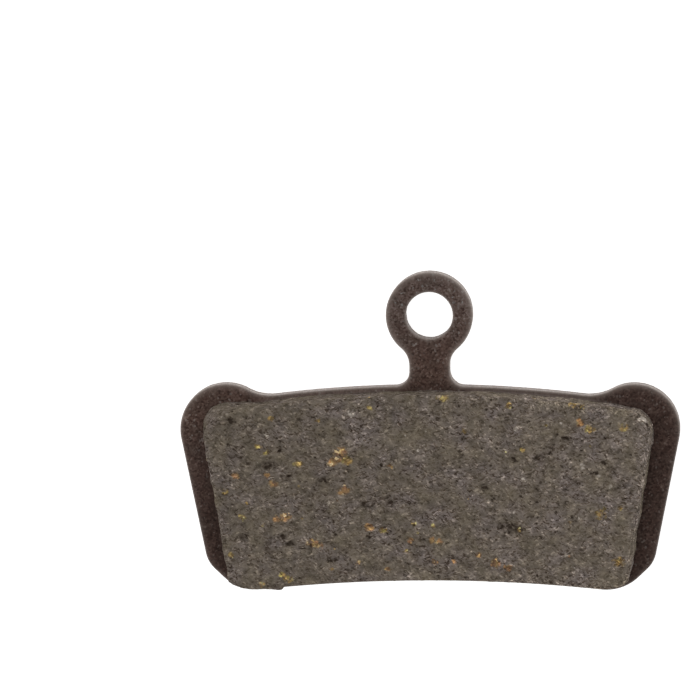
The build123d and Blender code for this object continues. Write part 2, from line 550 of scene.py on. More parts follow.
# %% [markdown]
# ## Friction lining: four sides for one patch
# The face must carry pits and grains, so it needs an even grid of points, about a tenth of a
# millimetre apart. A Remesh modifier would give one but would round the edge off. Here the outline
# is cut at the middles of its corner roundings into four sides, each with a set number of points.

# %% Stations along the four sides
ACROSS, DOWN = 380, 142


def lengths_along(points):
    """Length walked along a closed outline up to each point, and at the end its whole length."""
    step = np.linalg.norm(np.diff(points, axis=0, append=points[:1]), axis=1)
    return np.concatenate([[0], np.cumsum(step)])


def resampled(path, stations):
    """Points and outward directions of a closed outline at given lengths along it."""
    length = lengths_along(path[0])
    both = np.hstack(path)
    both = np.vstack([both, both[:1]])
    wrapped = np.mod(stations, length[-1])
    found = np.stack([np.interp(wrapped, length, column) for column in both.T], axis=1)
    return found[:, :2], found[:, 2:] / np.linalg.norm(found[:, 2:], axis=1, keepdims=True)


walked = lengths_along(lining_path[0])
run_ends = walked[np.cumsum([len(run[0]) for run in lining_runs])]
top_cut, heel_cut, whole = run_ends[:2].mean(), run_ends[2:4].mean(), walked[-1]
cuts = [-top_cut, top_cut, heel_cut, whole - heel_cut, whole - top_cut]
sides = zip(cuts[:-1], cuts[1:], (ACROSS, DOWN, ACROSS, DOWN))
stations = np.concatenate([np.linspace(a, b, n, endpoint=False) for a, b, n in sides])
ring_points, ring_outward = resampled(lining_path, stations)
print("lining ring", len(stations), "stations over", round(whole, 1), "mm")

# %% [markdown]
# ## Friction lining: the uneven edge of the mould
# A moulded edge is never quite true: it wanders by some hundredths of a millimetre, and the foot,
# which is trimmed to the plate, only ever falls short. On this pad the lining also sits 0.13 mm to
# the left, and its upper right corner is a little fuller. All this moves the ring along its outward
# directions, which keeps the grid inside it even.

# %% Uneven ring
SITS_LEFT = 0.13
FULL_CORNER, FULL_REACH, FULLER = (18.5, -8.8), 2.4, 0.2

x, y = ring_points.T
spots = np.column_stack([ring_points, np.zeros(len(ring_points))])
uneven = 0.07 * noise(spots, 1.4, 20) + 0.05 * noise(spots, 0.45, 21)
uneven = np.where(ring_outward[:, 1] < -0.5, -0.3 * np.abs(uneven), uneven)
uneven -= SITS_LEFT * ring_outward[:, 0]
uneven += FULLER * near(x, y, FULL_CORNER, FULL_REACH)
ring = ring_points + uneven[:, None] * ring_outward, ring_outward
print("edge moved from", round(uneven.min(), 2), "to", round(uneven.max(), 2), "mm")

# %% [markdown]
# ## Friction lining: edge and wall
# The compound leaves its mould along a slight draft, and the edge of the face is broken by a small
# round. This is again a profile carried along the ring, from the face outwards and down to the
# plate. At the upper left corner the wall has chipped, and what is left of it spreads into a shelf.
# The last loop follows the plate's roll, so that no gap shows under it.

# %% Walls of the lining
LINING_THICK, DRAFT, EDGE_BREAK = 2.2, radians(4.0), 0.2
FACE = THICK + LINING_THICK
EDGE_LOOPS, DRAFT_LOOPS = 7, 18
CHIPPED_SPOT, CHIPPED_REACH, SHELF_WIDTH = (-18.3, -8.3), 3.4, 0.5


def edge_and_wall():
    """Inset, height and tilt of the loops from the face over the edge and down the drafted wall.

    The edge is an arc that turns from level to the wall's slope, and the wall runs straight out
    and down to the plate.
    """
    turn = np.linspace(0, pi / 2 - DRAFT, EDGE_LOOPS)
    bottom = EDGE_BREAK * (1 - np.cos(turn[-1]))
    start = LINING_THICK * tan(DRAFT) + EDGE_BREAK * np.tan(turn[-1] / 2)
    arc_inset = start - EDGE_BREAK * np.sin(turn)
    arc_height = -EDGE_BREAK * (1 - np.cos(turn))
    down = np.linspace(0, 1, DRAFT_LOOPS + 1)[1:]
    inset = np.concatenate([arc_inset, arc_inset[-1] * (1 - down)])
    height = FACE + np.concatenate([arc_height, -bottom - (LINING_THICK - bottom) * down])
    tilt = np.concatenate([turn, np.full(len(down), turn[-1])])
    return inset[:, None], height[:, None], tilt[:, None]


inset, height, tilt = edge_and_wall()
x, y = ring[0].T
chipped = near(x, y, CHIPPED_SPOT, CHIPPED_REACH) ** 0.7 * rise(ring[1][:, 1], 0, 0.625)
shelf = rise(height, FACE - 0.3, FACE - 1.5)
walls = loops_along(ring, inset - SHELF_WIDTH * shelf * chipped, height)
to_rim = np.sqrt(((ring[0][:, None] - plate_path[0][None]) ** 2).sum(2).min(1))
walls[-1, :, 2] = THICK - roll_drop(to_rim, ROLL_WIDTH, ROLL_DEPTH)
print("wall loops", len(walls), "lowest point", round(walls[..., 2].min(), 3))

# %% [markdown]
# ## Friction lining: the face as a Coons patch
# A Coons patch is the surface that four border curves span: each inner point blends the two sides it
# lies between, in both directions. It needs no solver and no subdivision, and its rows and columns
# run with the borders, so the grid meets the walls point by point.

# %% Face grid
def coons(loop):
    """Patch inside a closed loop of four sides.

    The blend from top to foot plus the blend from side to side, less the blend of the four
    corners, which both have counted.
    """
    top = loop[: ACROSS + 1]
    right_side = loop[ACROSS : ACROSS + DOWN + 1]
    foot = loop[ACROSS + DOWN : 2 * ACROSS + DOWN + 1][::-1]
    left_side = np.vstack([loop[2 * ACROSS + DOWN :], loop[:1]])[::-1]
    s = np.linspace(0, 1, ACROSS + 1)[None, :, None]
    t = np.linspace(0, 1, DOWN + 1)[:, None, None]
    upright = (1 - t) * top[None] + t * foot[None]
    level = (1 - s) * left_side[:, None] + s * right_side[:, None]
    corners = (1 - t) * ((1 - s) * top[0] + s * top[-1]) + t * ((1 - s) * foot[0] + s * foot[-1])
    return upright + level - corners


face = np.dstack([coons(walls[0, :, :2]), np.full((DOWN + 1, ACROSS + 1), FACE)])
middle_step = face[DOWN // 2, ACROSS // 2 + 1] - face[DOWN // 2, ACROSS // 2]
print("face grid", face.shape[:2], "step in mm", np.linalg.norm(middle_step).round(3))

# %% [markdown]
# ## Friction lining: the crumbled edge
# Grains break out of the compound along its edge, more on the right side, and a piece is gone from
# the upper left corner. How far in the crumbling reaches is a base value plus noise in patches of
# two sizes. The face sinks towards the border over that reach, and the walls below are pressed down
# to meet it.

# %% Sink the border
TORN_SPOT, TORN_REACH = (-18.4, -7.6), 2.2
GRID_STEP, SINK = 0.1, 0.45


def crumbled(points):
    """How far in the edge has crumbled, in mm.

    A base reach plus noise in patches of 1.3 and 0.45 mm, most on the right side, and more again
    round the chipped corner.
    """
    x, y = points[:, 0], points[:, 1]
    flat = points * [1, 1, 0]
    reach = 0.3 + 0.35 * noise(flat, 1.3, 70) + 0.2 * noise(flat, 0.45, 71)
    reach = np.clip(reach, 0.04, 1) * (0.45 + 0.55 * rise(x, 13, 17))
    torn = near(x, y, TORN_SPOT, TORN_REACH)
    return reach + 0.9 * torn * (0.7 + 0.5 * noise(flat, 0.5, 72))


column, row = np.meshgrid(np.arange(ACROSS + 1), np.arange(DOWN + 1))
steps_in = np.minimum(np.minimum(column, ACROSS - column), np.minimum(row, DOWN - row))
border_way = GRID_STEP * steps_in
reach = crumbled(face.reshape(-1, 3)).reshape(steps_in.shape)
border_drop = SINK * crumbled(walls[0])
face[..., 2] -= SINK * reach * rise(border_way, reach, 0) ** 1.5
walls[:, :, 2] -= border_drop * (walls[:, :, 2] - THICK) / LINING_THICK
print("border sunk by", round(border_drop.min(), 2), "to", round(border_drop.max(), 2), "mm")

# %% [markdown]
# ## Friction lining: the plugs in the keying holes
# The compound that was pressed through the keying holes ends a little below the back. Each plug is a
# stack of rings: down the hole's wall, then in towards the middle, where a small face closes the
# last ring. A hundredth of a millimetre of play keeps its wall off the plate's.

# %% Plugs
PLUG_RECESS, PLUG_PLAY, PLUG_POINTS = 0.2, 0.01, 96
PLUG_WALL_RINGS, PLUG_END_RINGS, PLUG_LAST_SHARE = 7, 15, 0.04

turns = np.linspace(2 * pi, 0, PLUG_POINTS, endpoint=False)
inwards = np.linspace(1, PLUG_LAST_SHARE, PLUG_END_RINGS + 1)[1:]
downwards = np.linspace(THICK, PLUG_RECESS, PLUG_WALL_RINGS)
shares = np.concatenate([np.ones(PLUG_WALL_RINGS), inwards])
heights = np.concatenate([downwards, np.full(PLUG_END_RINGS, PLUG_RECESS)])
spokes = (KEY_HOLE - PLUG_PLAY) * np.stack([np.cos(turns), np.sin(turns)], axis=1)
rings = shares[:, None, None] * spokes[None]
ring_heights = np.repeat(heights[:, None], PLUG_POINTS, 1)
plugs = [np.dstack([np.asarray(centre) + rings, ring_heights]) for centre in key_centres]
print("each plug has", len(shares), "rings of", PLUG_POINTS, "points")

# %% [markdown]
# ## Friction lining: a field of grains
# The mix is full of grains. Where one has torn out at moulding there is a pit, which is coloured dark
# as deep as it is, painted shade in the hollow, and where one is cut it shows as a pale or golden spot.
# Scattering a thousand small meshes would be slow and leave seams. Instead each cell of a lattice gets
# one grain with its own place and size, and a point of the surface takes the grain that covers it most.

# %% Scattered and placed grains
def grains(points, cell, seed, share, smallest, largest):
    """How deep each point lies in a scattered grain: 1 less the distance over the grain's radius.

    The 27 cells round a point are tried. Each holds one grain, or none, by chance.
    """
    base = np.floor(points / cell)
    depth = np.zeros(len(points))
    for step in np.ndindex(3, 3, 3):
        index = base + np.array(step) - 1
        place = np.stack([lattice_numbers(index, seed + k) for k in range(3)], axis=1)
        radius = smallest + (largest - smallest) * lattice_numbers(index, seed + 3) ** 2
        away = np.linalg.norm(points - (index + place) * cell, axis=1)
        there = lattice_numbers(index, seed + 4) < share
        depth = np.maximum(depth, np.where(there, 1 - away / radius, 0))
    return depth


def placed(points, spots, stretch=1.0):
    """How deep each point lies in grains given in a list, each a spot on the face and a radius.

    Distance along X is divided by the stretch, which draws the grains out sideways.
    """
    x, y, radius = np.array(spots).T
    centres = np.stack([x, y, np.full(len(x), FACE)], axis=1)
    away = np.linalg.norm((points[:, None] - centres[None]) / [stretch, 1, 1], axis=2)
    return rise(away, radius, 0).max(1)


def ragged(points, size, seed):
    """Points pushed about by noise of that size, so that round grains get ragged outlines."""
    push = np.stack([noise(points, 2.2 * size, seed + k) for k in range(3)], axis=1)
    fine = np.stack([noise(points, 0.9 * size, seed + 5 + k) for k in range(3)], axis=1)
    return points + size * (0.8 * push + 0.45 * fine)


middle = np.array([[0, -15.0, FACE]])
print("a grain of 1 mm, 0.25 mm off its middle, has depth", placed(middle, [(0.25, -15.0, 1.0)]))

# %% [markdown]
# ## Friction lining: the large grains of this pad
# The eye goes to the few largest grains. Chance could place those too, but then it would be another
# pad, so they are listed: across, up and radius. The metal chips come as bunches of flakes, so
# several spots lie close together. The yellow ones are brass and the redder ones bronze.

# %% Brass and bronze chips
BRASS_CHIPS = [
    (-7.0, -12.1, 0.6), (-11.1, -12.4, 0.5), (-15.9, -17.0, 0.4), (1.2, -6.7, 0.6), (13.0, -7.2, 0.65),
    (12.2, -7.3, 0.4), (16.5, -9.3, 0.5), (14.9, -16.3, 0.35), (8.0, -11.2, 0.3), (6.8, -7.4, 0.35),
    (-12.0, -22.3, 0.45), (-12.5, -21.9, 0.35), (-14.3, -22.7, 0.4), (-16.9, -20.2, 0.36),
    (3.0, -9.6, 0.35), (-1.3, -17.5, 0.3), (-13.4, -8.5, 0.34), (-14.5, -10.9, 0.36),
    (-13.8, -11.4, 0.36), (-17.3, -14.8, 0.35), (-1.9, -19.9, 0.35), (-9.4, -8.7, 0.3),
    (-5.0, -7.6, 0.3), (0.4, -17.7, 0.26), (-3.9, -18.1, 0.42), (-14.1, -17.7, 0.28),
    (13.7, -9.5, 0.55), (14.5, -16.7, 0.6), (16.1, -20.8, 0.6),
]
BRONZE_CHIPS = [
    (-7.5, -11.5, 0.7), (-8.2, -12.3, 0.5), (-7.7, -12.0, 0.5), (-7.3, -14.7, 0.6),
    (-12.2, -17.0, 0.55), (-13.0, -17.1, 0.4), (-16.4, -13.4, 0.42), (-13.8, -13.4, 0.36),
    (-13.2, -14.1, 0.5), (-9.9, -19.2, 0.55), (-9.3, -19.4, 0.4), (-5.1, -17.9, 0.5),
    (12.9, -8.9, 0.45), (12.0, -17.4, 0.3), (-1.6, -18.9, 0.4), (0.2, -18.95, 0.42), (0.9, -19.1, 0.35),
    (-6.1, -20.9, 0.28), (-3.5, -21.4, 0.3), (0.5, -20.8, 0.3), (-8.3, -21.4, 0.26),
    (11.9, -20.3, 0.24), (5.7, -20.9, 0.5), (6.7, -21.3, 0.4), (4.2, -20.2, 0.3), (2.1, -20.8, 0.26),
    (-3.3, -12.6, 0.28),
]
print(len(BRASS_CHIPS), "brass and", len(BRONZE_CHIPS), "bronze chips placed")

# %% [markdown]
# ## Friction lining: the large pits and pale grains of this pad
# Pits are where a bundle of fibres has torn out. They are long rather than round, because the fibres
# lay flat in the mould, and they get their length when they are joined with the scattered ones below.
# The pale grains are bits of mineral filler, and a row of them lies open at the chipped corner.

# %% Pits and pale grains
PITS = [
    (-13.6, -12.6, 0.6), (-16.8, -8.8, 0.42), (-5.3, -15.9, 0.55), (-15.8, -18.7, 0.5),
    (-12.5, -18.7, 0.35), (-11.8, -19.2, 0.42), (-8.3, -20.6, 0.45), (4.7, -14.4, 0.4),
    (7.1, -17.8, 0.62), (-8.9, -13.8, 0.42), (7.2, -12.1, 0.4), (-3.2, -15.8, 0.4),
    (9.3, -11.9, 0.35), (11.6, -10.2, 0.3), (14.1, -13.2, 0.3), (14.9, -12.3, 0.25),
    (6.2, -17.7, 0.4), (7.6, -18.1, 0.42), (6.8, -18.3, 0.35), (10.4, -11.6, 0.3),
]
PALE_GRAINS = [
    (18.1, -8.55, 0.5), (-8.6, -15.8, 0.24), (-17.1, -8.1, 0.28), (-6.5, -8.15, 0.48),
    (-13.7, -9.9, 0.34), (7.5, -9.3, 0.42), (8.0, -13.7, 0.3), (13.1, -12.6, 0.4),
    (14.5, -13.4, 0.28), (15.4, -14.4, 0.26), (-17.6, -8.4, 0.22), (-18.2, -8.5, 0.25),
    (-18.7, -8.5, 0.28), (-19.0, -8.8, 0.2), (-0.9, -11.3, 0.25), (8.2, -14.9, 0.26),
    (11.6, -20.2, 0.22),
]
print(len(PITS), "pits and", len(PALE_GRAINS), "pale grains placed")

# %% [markdown]
# ## Friction lining: all the grains together
# The placed grains are joined with scattered ones of the sizes that such a mix has, from under a
# tenth to half a millimetre. All read pushed-about points, so that none has a round outline, and the
# pits read points that are squeezed along X, which draws them out. A point is bronze where it lies
# deeper in a bronze chip than in a brass one. The chips are widened for that, so that the edge of each
# chip keeps its own colour.

# %% Depth in pits, pale grains and chips
PIT_STRETCH, CHIP_STRETCH = 1.7, 1.3
ALLOY_REACH = [1, 1, 1.6]

coords, numbers = stack([face, walls[1:], *plugs])
rough_coords = ragged(coords, 0.12, 40)
long_coords = rough_coords * [0.6, 1, 1]

pit_and_shade = np.maximum(
    grains(long_coords, cell=0.5, seed=100, share=0.5, smallest=0.08, largest=0.24),
    grains(long_coords, cell=1.6, seed=110, share=0.45, smallest=0.15, largest=0.45),
)
pit_and_shade = np.maximum(pit_and_shade, placed(rough_coords, PITS, PIT_STRETCH))
pale = np.maximum(
    grains(rough_coords, cell=0.9, seed=120, share=0.25, smallest=0.06, largest=0.18),
    placed(rough_coords, PALE_GRAINS),
)
chip = np.maximum(
    grains(rough_coords, cell=1.2, seed=130, share=0.22, smallest=0.1, largest=0.34),
    placed(rough_coords, BRASS_CHIPS + BRONZE_CHIPS, CHIP_STRETCH),
)
near_brass = placed(rough_coords, np.multiply(BRASS_CHIPS, ALLOY_REACH), CHIP_STRETCH)
near_bronze = placed(rough_coords, np.multiply(BRONZE_CHIPS, ALLOY_REACH), CHIP_STRETCH)
bronze = (near_bronze > near_brass) * 1.0
for name, depth in (("pits", pit_and_shade), ("pale grains", pale), ("metal chips", chip)):
    print(name, "cover", round(100 * (depth > 0.3).mean(), 2), "per cent of the points")

# %% [markdown]
# ## Friction lining: which way is out
# To push a point in or out, its outward direction must be known. Blender could work normals out from
# the faces, but here they follow from how the loops were made: up on the face, along the ring and up
# by the tilt on the walls, and down on the ends of the plugs.

# %% Outward directions
outward = np.zeros_like(coords)
outward[numbers[0].ravel(), 2] = 1
wall_flat = np.sin(tilt[1:])[..., None] * ring[1][None]
wall_up = np.repeat(np.cos(tilt[1:]), len(ring[0]), 1)
outward[numbers[1].ravel()] = np.dstack([wall_flat, wall_up]).reshape(-1, 3)
for block in numbers[2:]:
    outward[block[PLUG_WALL_RINGS:].ravel(), 2] = -1
print("points that can move", int((np.abs(outward).sum(1) > 0).sum()), "of", len(coords))

# %% [markdown]
# ## Friction lining: pits and swells as real shape
# Bump in a material would leave the outline and the exported mesh smooth, so the larger roughness is
# real shape: gentle swells of three sizes, a rougher skin on the walls, pits a tenth of a millimetre
# deep and pale grains that stand a little proud. At the foot a nib of flash is left, where the
# compound was squeezed out of the mould.

# %% Push the surface in and out
PIT_DEPTH, PALE_RISE, NIB_HEIGHT = 0.1, 0.03, 0.25

x, z = coords[:, 0], coords[:, 2]
down_the_wall = rise(np.arange(len(walls) - 1), 0, EDGE_LOOPS - 1)
skin = np.zeros(len(coords))
skin[numbers[1].ravel()] = np.repeat(down_the_wall, len(ring[0]))
swell = 0.016 * noise(coords, 1.5, 60) + 0.014 * noise(coords, 0.5, 61) + 0.012 * noise(coords, 0.24, 62)
swell += skin * (0.02 * noise(coords, 0.8, 63) + 0.03 * noise(coords, 0.3, 64))
flash = rise(x, -14.6, -13.0) ** 1.5 * rise(x, -12.4, -12.6)
flash *= (outward[:, 1] < -0.8) * rise(z, THICK, THICK + 0.4)
push = swell - PIT_DEPTH * np.clip(pit_and_shade, 0, 1) ** 0.7
push = push + PALE_RISE * np.clip(pale, 0, 0.6) + NIB_HEIGHT * flash
push[numbers[1][-1]] *= 0.2
coords = coords + push[:, None] * outward
print("surface moved from", round(push.min(), 3), "to", round(push.max(), 3), "mm")

# %% [markdown]
# ## Friction lining: the closed shell
# The face grid, the walls, the underside with its two openings, and the plugs share their border
# points, so the shell has no seam. The underside lies on the plate and never shows, so plain
# triangles fill it.

# %% Faces of the lining
grid = numbers[0]
border = np.concatenate([grid[0, :-1], grid[:-1, -1], grid[-1, :0:-1], grid[:0:-1, 0]])
cells = np.stack([grid[:-1, :-1], grid[1:, :-1], grid[1:, 1:], grid[:-1, 1:]], axis=-1)
faces = cells.reshape(-1, 4).tolist()
faces += strip(np.vstack([border[None], numbers[1]])).tolist()
for block in numbers[2:]:
    faces += strip(block).tolist()
    faces.append(block[-1].tolist())
underside = [numbers[1][-1], *[block[0] for block in numbers[2:]]]
faces += fill(underside, coords, -1).tolist()
print("lining has", len(coords), "points and", len(faces), "faces")

# %% [markdown]
# ## Friction lining: layers for its finish
# The same depths that shaped the surface go along as layers and colour it, so a pit is dark exactly
# where it is deep, which is painted shade. One more layer, crumb, marks the band along the crumbled edge
# on the right, where fresh grains lie open. As these lighten on the whole, it also paints that side
# lighter, which is painted light. Low on the walls painted shade is added to the pits, most on the left,
# where there is no crumb.

# %% Layers and the lining's mesh
CRUMB_WIDTH, WALL_PAINTED_SHADE = 0.9, 0.18

crumb_and_light = np.zeros(len(coords))
crumb_and_light[numbers[0].ravel()] = rise(border_way, CRUMB_WIDTH, 0).ravel()
crumb_and_light[numbers[1].ravel()] = 1
# Kept to the right: the open grains lighten on the whole, so they also paint that side lighter, painted
# light
crumb_and_light *= 0.8 * rise(coords[:, 0], -2, 10)
# Painted shade low on the walls, most where there is no crumb, on the left
pit_and_shade = np.maximum(pit_and_shade, WALL_PAINTED_SHADE * skin * (1 - crumb_and_light))
depths = {"pit_and_shade": pit_and_shade, "pale": pale, "chip": chip, "bronze": bronze, "crumb_and_light": crumb_and_light}
layers = {name: np.clip(depth, 0, 1) for name, depth in depths.items()}
lining = add_piece("friction_lining_moulded", coords, faces, sharp_angle=75, layers=layers)

# %% [markdown]
# ## Finishes: nodes from code
# A finish is a graph of nodes. Building it by mouse is quick, but code can be read line by line. One
# function adds a node: its settings, the stops of its colour ramp, and a value or a link for each
# input. Colours are written as sRGB hex codes, as a paint program shows them, and turned to the
# linear values that light is worked out with. A ramp's stop may also be a plain number, which makes
# a grey that scales another colour. A Mix node keeps sockets for several kinds of data, so the ones
# for colours get names here.

# %% Colours and the node helper
FACTOR, FIRST, SECOND, MIXED = 0, 6, 7, 2


def linear(code):
    """sRGB hex code to linear RGBA: each channel by the sRGB curve."""
    channels = np.array([int(code[k : k + 2], 16) for k in (1, 3, 5)]) / 255
    curve = np.where(channels <= 0.04045, channels / 12.92, ((channels + 0.055) / 1.055) ** 2.4)
    return (*curve.tolist(), 1.0)


def add_node(tree, kind, inputs, stops=None, **settings):
    """Adds a node of a kind, or takes the node of that name, and gives it settings, stops and inputs."""
    made = tree.nodes.get(kind) or tree.nodes.new(kind)
    for name, value in settings.items():
        setattr(made, name, value)
    for count, (position, value) in enumerate(sorted((stops or {}).items())):
        elements = made.color_ramp.elements
        stop = elements[count] if count < len(elements) else elements.new(1.0)
        stop.position = position
        stop.color = linear(value) if isinstance(value, str) else (*np.broadcast_to(value, 3).tolist(), 1)
    for name, value in inputs.items():
        if isinstance(value, bpy.types.NodeSocket):
            tree.links.new(value, made.inputs[name])
        else:
            made.inputs[name].default_value = value
    return made


def per_mm(size):
    """Texture scale for a pattern of that size in mm, as Object coordinates are in metres."""
    return 1 / (size * MM)


print("mid grey #808080 is", round(linear("#808080")[0], 3), "in linear light")

# %% [markdown]
# ## Finish of the plate: baked coating on steel
# The plate is low-carbon steel with a thin coating, sprayed on and baked: a dark, warm brown of a dull
# satin, cloudy, with fine pale and dark specks. A plain colour would look like plastic. So soft noise
# makes the clouds, and Voronoi cells, each with random numbers of its own, make the specks. A brighter
# speck is also greyer, so its stop on the ramp lifts green and blue more than red. The real specks are
# finer than a pixel, so they are drawn 0.16 mm wide, as coarse as they need to show.

# %% Coating: clouds and specks
CLOUD, SPECK = 1.2, 0.16

coating = bpy.data.materials.new("baked_coating_on_blanked_steel")
coating.use_nodes = True
tree = coating.node_tree
place = add_node(tree, "ShaderNodeTexCoord", {}).outputs["Object"]
cloud = add_node(
    tree, "ShaderNodeTexNoise", {"Vector": place, "Scale": per_mm(CLOUD), "Detail": 5.0, "Roughness": 0.6}
)
speck = add_node(tree, "ShaderNodeTexVoronoi", {"Vector": place, "Scale": per_mm(SPECK)})
chance = add_node(tree, "ShaderNodeSeparateColor", {"Color": speck.outputs["Color"]})
tint = add_node(
    tree, "ShaderNodeValToRGB", {"Fac": cloud.outputs["Fac"]},
    stops={0.3: "#4b3b34", 0.45: "#41302a", 0.55: "#3c2d27", 0.7: "#42342e"},
)
tone = add_node(
    tree, "ShaderNodeValToRGB", {"Fac": chance.outputs["Red"]},
    stops={
        0.0: (0.42, 0.33, 0.29), 0.2: (0.76, 0.71, 0.69), 0.6: 1.0,
        0.9: (1.24, 1.3, 1.34), 1.0: (1.55, 1.72, 1.82),
    },
)
tinted = add_node(
    tree, "ShaderNodeMix", {FACTOR: 1.0, FIRST: tint.outputs["Color"], SECOND: tone.outputs["Color"]},
    data_type="RGBA", blend_type="MULTIPLY",
)
print("clouds of", CLOUD, "mm, specks of", SPECK, "mm")

# %% [markdown]
# ## Finish of the plate: painted light towards the tab
# The colour is made paler and greyer towards the tab and a little towards the left: painted light and
# sheen, as the light falls from there. Painting a mask by hand could show that, but a ramp along one
# direction that multiplies the colour is enough. A finer noise gives the orange-peel that a sprayed coat
# dries with, and a few bright specks of dust catch the light.

# %% Coating: peel, glints and painted light towards the tab
PEEL, LIGHT_FADES_OVER = 0.2, 12.5

fine = add_node(tree, "ShaderNodeTexNoise", {"Vector": place, "Scale": per_mm(PEEL), "Detail": 2.0})
depth_of_coat = add_node(
    tree, "ShaderNodeValToRGB", {"Fac": fine.outputs["Fac"]},
    stops={
        0.2: (0.52, 0.43, 0.39), 0.3: (0.68, 0.61, 0.58), 0.5: 1.0,
        0.7: (1.32, 1.4, 1.45), 0.8: (1.48, 1.6, 1.69),
    },
)
mottled = add_node(
    tree, "ShaderNodeMix",
    {FACTOR: 1.0, FIRST: tinted.outputs[MIXED], SECOND: depth_of_coat.outputs["Color"]},
    data_type="RGBA", blend_type="MULTIPLY",
)
glint = add_node(
    tree, "ShaderNodeMapRange", {"Value": chance.outputs["Green"], "From Min": 0.94, "To Max": 0.5}
)
specked = add_node(
    tree, "ShaderNodeMix",
    {FACTOR: glint.outputs[0], FIRST: mottled.outputs[MIXED], SECOND: linear("#6f6661")},
    data_type="RGBA",
)
# Painted light: the colour is paler and greyer towards the tab and a little towards the left, as if lit and
# with sheen from there
toward_light = add_node(
    tree, "ShaderNodeVectorMath", {0: place, 1: (-0.2, 1.0, 0.0)}, operation="DOT_PRODUCT"
)
light_share = add_node(
    tree, "ShaderNodeMapRange",
    {"Value": toward_light.outputs["Value"], "From Min": -LIGHT_FADES_OVER * MM, "From Max": 0.0},
)
painted_light = add_node(
    tree, "ShaderNodeValToRGB", {"Fac": light_share.outputs[0]},
    stops={
        0.0: 1.0, 0.45: (1.32, 1.38, 1.4), 0.58: (1.58, 1.64, 1.62),
        0.75: (1.52, 1.57, 1.58), 1.0: (1.88, 2.26, 2.44),
    },
)
shown = add_node(
    tree, "ShaderNodeMix", {FACTOR: 1.0, FIRST: specked.outputs[MIXED], SECOND: painted_light.outputs["Color"]},
    data_type="RGBA", blend_type="MULTIPLY",
).outputs[MIXED]
# The painted light fades out over this reach, away from the tab
print("coat thins out over", LIGHT_FADES_OVER, "mm towards the tab")

# %% [markdown]
# ## Finish of the plate: pale edges and the cut wall
# Over the roll the coat is thin and paler, and at the very edge it is worn to grey steel. Both are also
# painted sheen and highlight, the light that the curved edge would catch. The layers of the mesh say how
# much, and each mixes its colour in. The cut wall keeps the upright lines that the punch draws in it:
# noise that is stretched along Z. Its lines are drawn 0.11 mm apart, coarser than the real ones, so that
# they show.

# %% Coating: worn steel, painted sheen and highlight on the edges
DRAWN_LINE = 0.11

# The pale roll and edge: partly thin and worn coat, partly painted sheen and highlight
for layer, most, colour in (("roll_wear_and_sheen", 0.85, "#8e827b"), ("bare_edge_and_highlight", 0.72, "#aaa09a")):
    worn = add_node(tree, "ShaderNodeAttribute", {}, attribute_name=layer)
    share = add_node(tree, "ShaderNodeMapRange", {"Value": worn.outputs["Fac"], "To Max": most})
    shown = add_node(
        tree, "ShaderNodeMix", {FACTOR: share.outputs[0], FIRST: shown, SECOND: linear(colour)},
        data_type="RGBA",
    ).outputs[MIXED]

cut_wall = add_node(tree, "ShaderNodeAttribute", {}, attribute_name="wall")
upright = add_node(tree, "ShaderNodeMapping", {"Vector": place, "Scale": (1, 1, 0.08)})
drawn = add_node(
    tree, "ShaderNodeTexNoise", {"Vector": upright.outputs[0], "Scale": per_mm(DRAWN_LINE), "Detail": 3.0}
)
lines = add_node(
    tree, "ShaderNodeValToRGB", {"Fac": drawn.outputs["Fac"]}, stops={0.3: 0.78, 0.5: 1.0, 0.7: 1.2}
)
shown = add_node(
    tree, "ShaderNodeMix",
    {FACTOR: cut_wall.outputs["Fac"], FIRST: shown, SECOND: lines.outputs["Color"]},
    data_type="RGBA", blend_type="MULTIPLY",
).outputs[MIXED]
print("drawn lines of", DRAWN_LINE, "mm on the cut wall")

# %% [markdown]
# ## Finish of the plate: its gloss
# A baked resin coat has an index of about 1.5, which is the shader's default, and a roughness of half
# and more. The fine dust in it takes most of the clear reflection away, so the specular level is set
# low, and the peel makes the gloss and the surface a little uneven.

# %% Coating: the shader
gloss = add_node(
    tree, "ShaderNodeMapRange",
    {"Value": fine.outputs["Fac"], "From Min": 0.3, "From Max": 0.7, "To Min": 0.5, "To Max": 0.65},
)
peel = add_node(
    tree, "ShaderNodeBump", {"Height": fine.outputs["Fac"], "Strength": 0.4, "Distance": 0.02 * MM}
)
add_node(tree, "Principled BSDF", {
    "Base Color": shown,
    "Roughness": gloss.outputs[0],
    "Specular IOR Level": 0.1,
    "Normal": peel.outputs["Normal"],
})
plate.data.materials.append(coating)
print("finish", coating.name, len(tree.nodes), "nodes")

# %% [markdown]
# ## Finish of the lining: pressed friction compound
# Resin and mineral powder give a matt grey brown that drifts between olive and purple grey in patches
# of a few millimetres, with darker and lighter clumps of under one. A ramp across makes it a shade
# lighter on the right, which is painted light.
# The pattern's coordinates are stirred by noise, because nothing in a pressed mix has a straight edge.

# %% Compound: its ground colour
DRIFT, CLUMP, STIR = 1.8, 0.7, 0.5

compound = bpy.data.materials.new("pressed_friction_compound")
compound.use_nodes = True
tree = compound.node_tree
place = add_node(tree, "ShaderNodeTexCoord", {}).outputs["Object"]
drift = add_node(tree, "ShaderNodeTexNoise", {"Vector": place, "Scale": per_mm(DRIFT), "Detail": 3.0})
clump = add_node(
    tree, "ShaderNodeTexNoise",
    {"Vector": place, "Scale": per_mm(CLUMP), "Detail": 4.0, "Roughness": 0.65},
)
hue = add_node(
    tree, "ShaderNodeValToRGB", {"Fac": drift.outputs["Fac"]},
    stops={0.3: "#6e6558", 0.5: "#6f665d", 0.7: "#736a66"},
)
level = add_node(
    tree, "ShaderNodeMapRange",
    {"Value": clump.outputs["Fac"], "From Min": 0.3, "From Max": 0.7, "To Min": 0.68, "To Max": 1.32},
    clamp=False,
)
